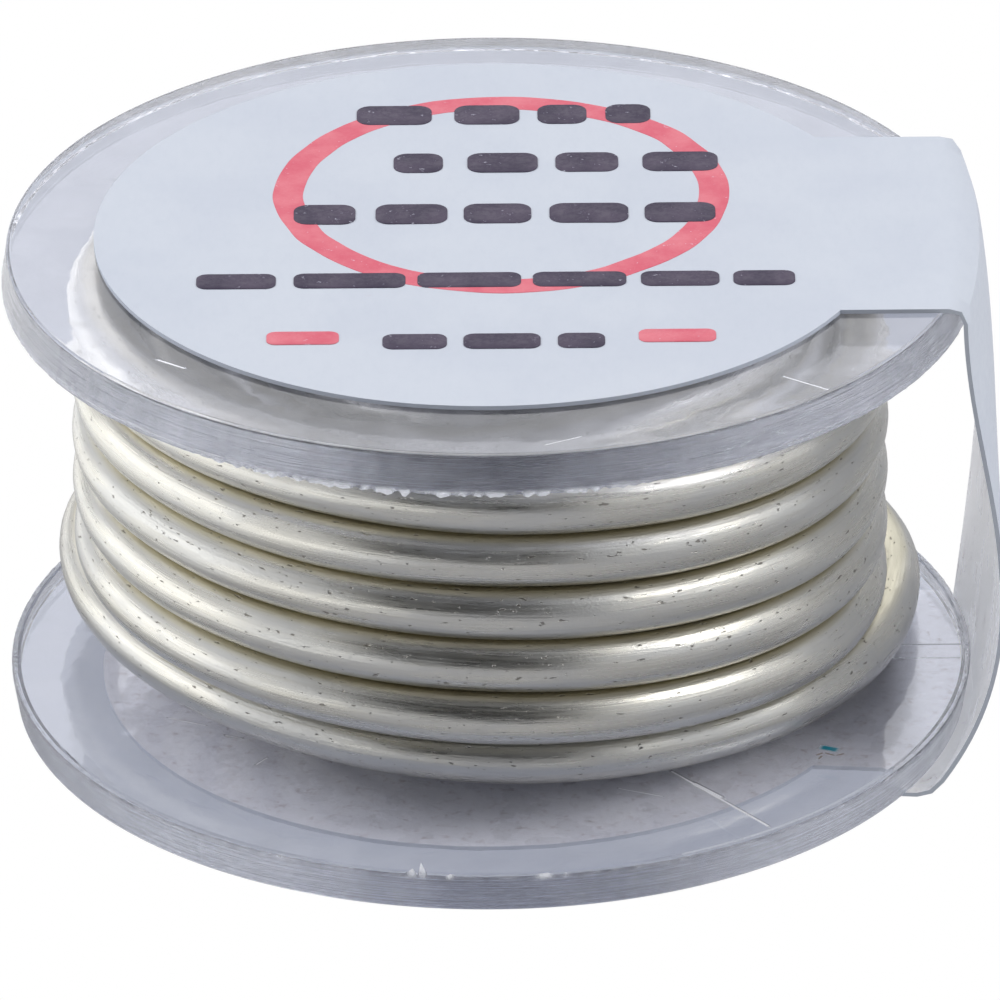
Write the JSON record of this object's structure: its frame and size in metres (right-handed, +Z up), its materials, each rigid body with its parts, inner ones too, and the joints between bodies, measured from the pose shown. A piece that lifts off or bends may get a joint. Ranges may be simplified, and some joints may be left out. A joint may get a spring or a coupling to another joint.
{
  "type": "solder wire spool",
  "caption": "Small clear plastic bobbin wound with thick bare solder wire in layers, closed by a folded round-ended paper seal label.",
  "frame": {"origin": "on the bobbin's axis, on the plane that the spool stands on (the underside of the label's lower lobe)", "axes": "+Z up along the bobbin's axis, +X towards the label's strap"},
  "size_m": [0.021, 0.0204, 0.0108],
  "materials": {
    "clear_plastic": "clear gloss moulding with fine scratches and chipped flash at the rim",
    "solder": "drawn bare metal, satin, slightly dull and warm",
    "label": "satin white film or coated paper",
    "red_ink": "printed, matt",
    "dark_ink": "printed, matt"
  },
  "bodies": {
    "root": {"lower_flange": "clear_plastic", "upper_flange": "clear_plastic", "core_tube": "clear_plastic", "solder_wire": "solder", "seal_label": "label"}
  },
  "joints": []
}
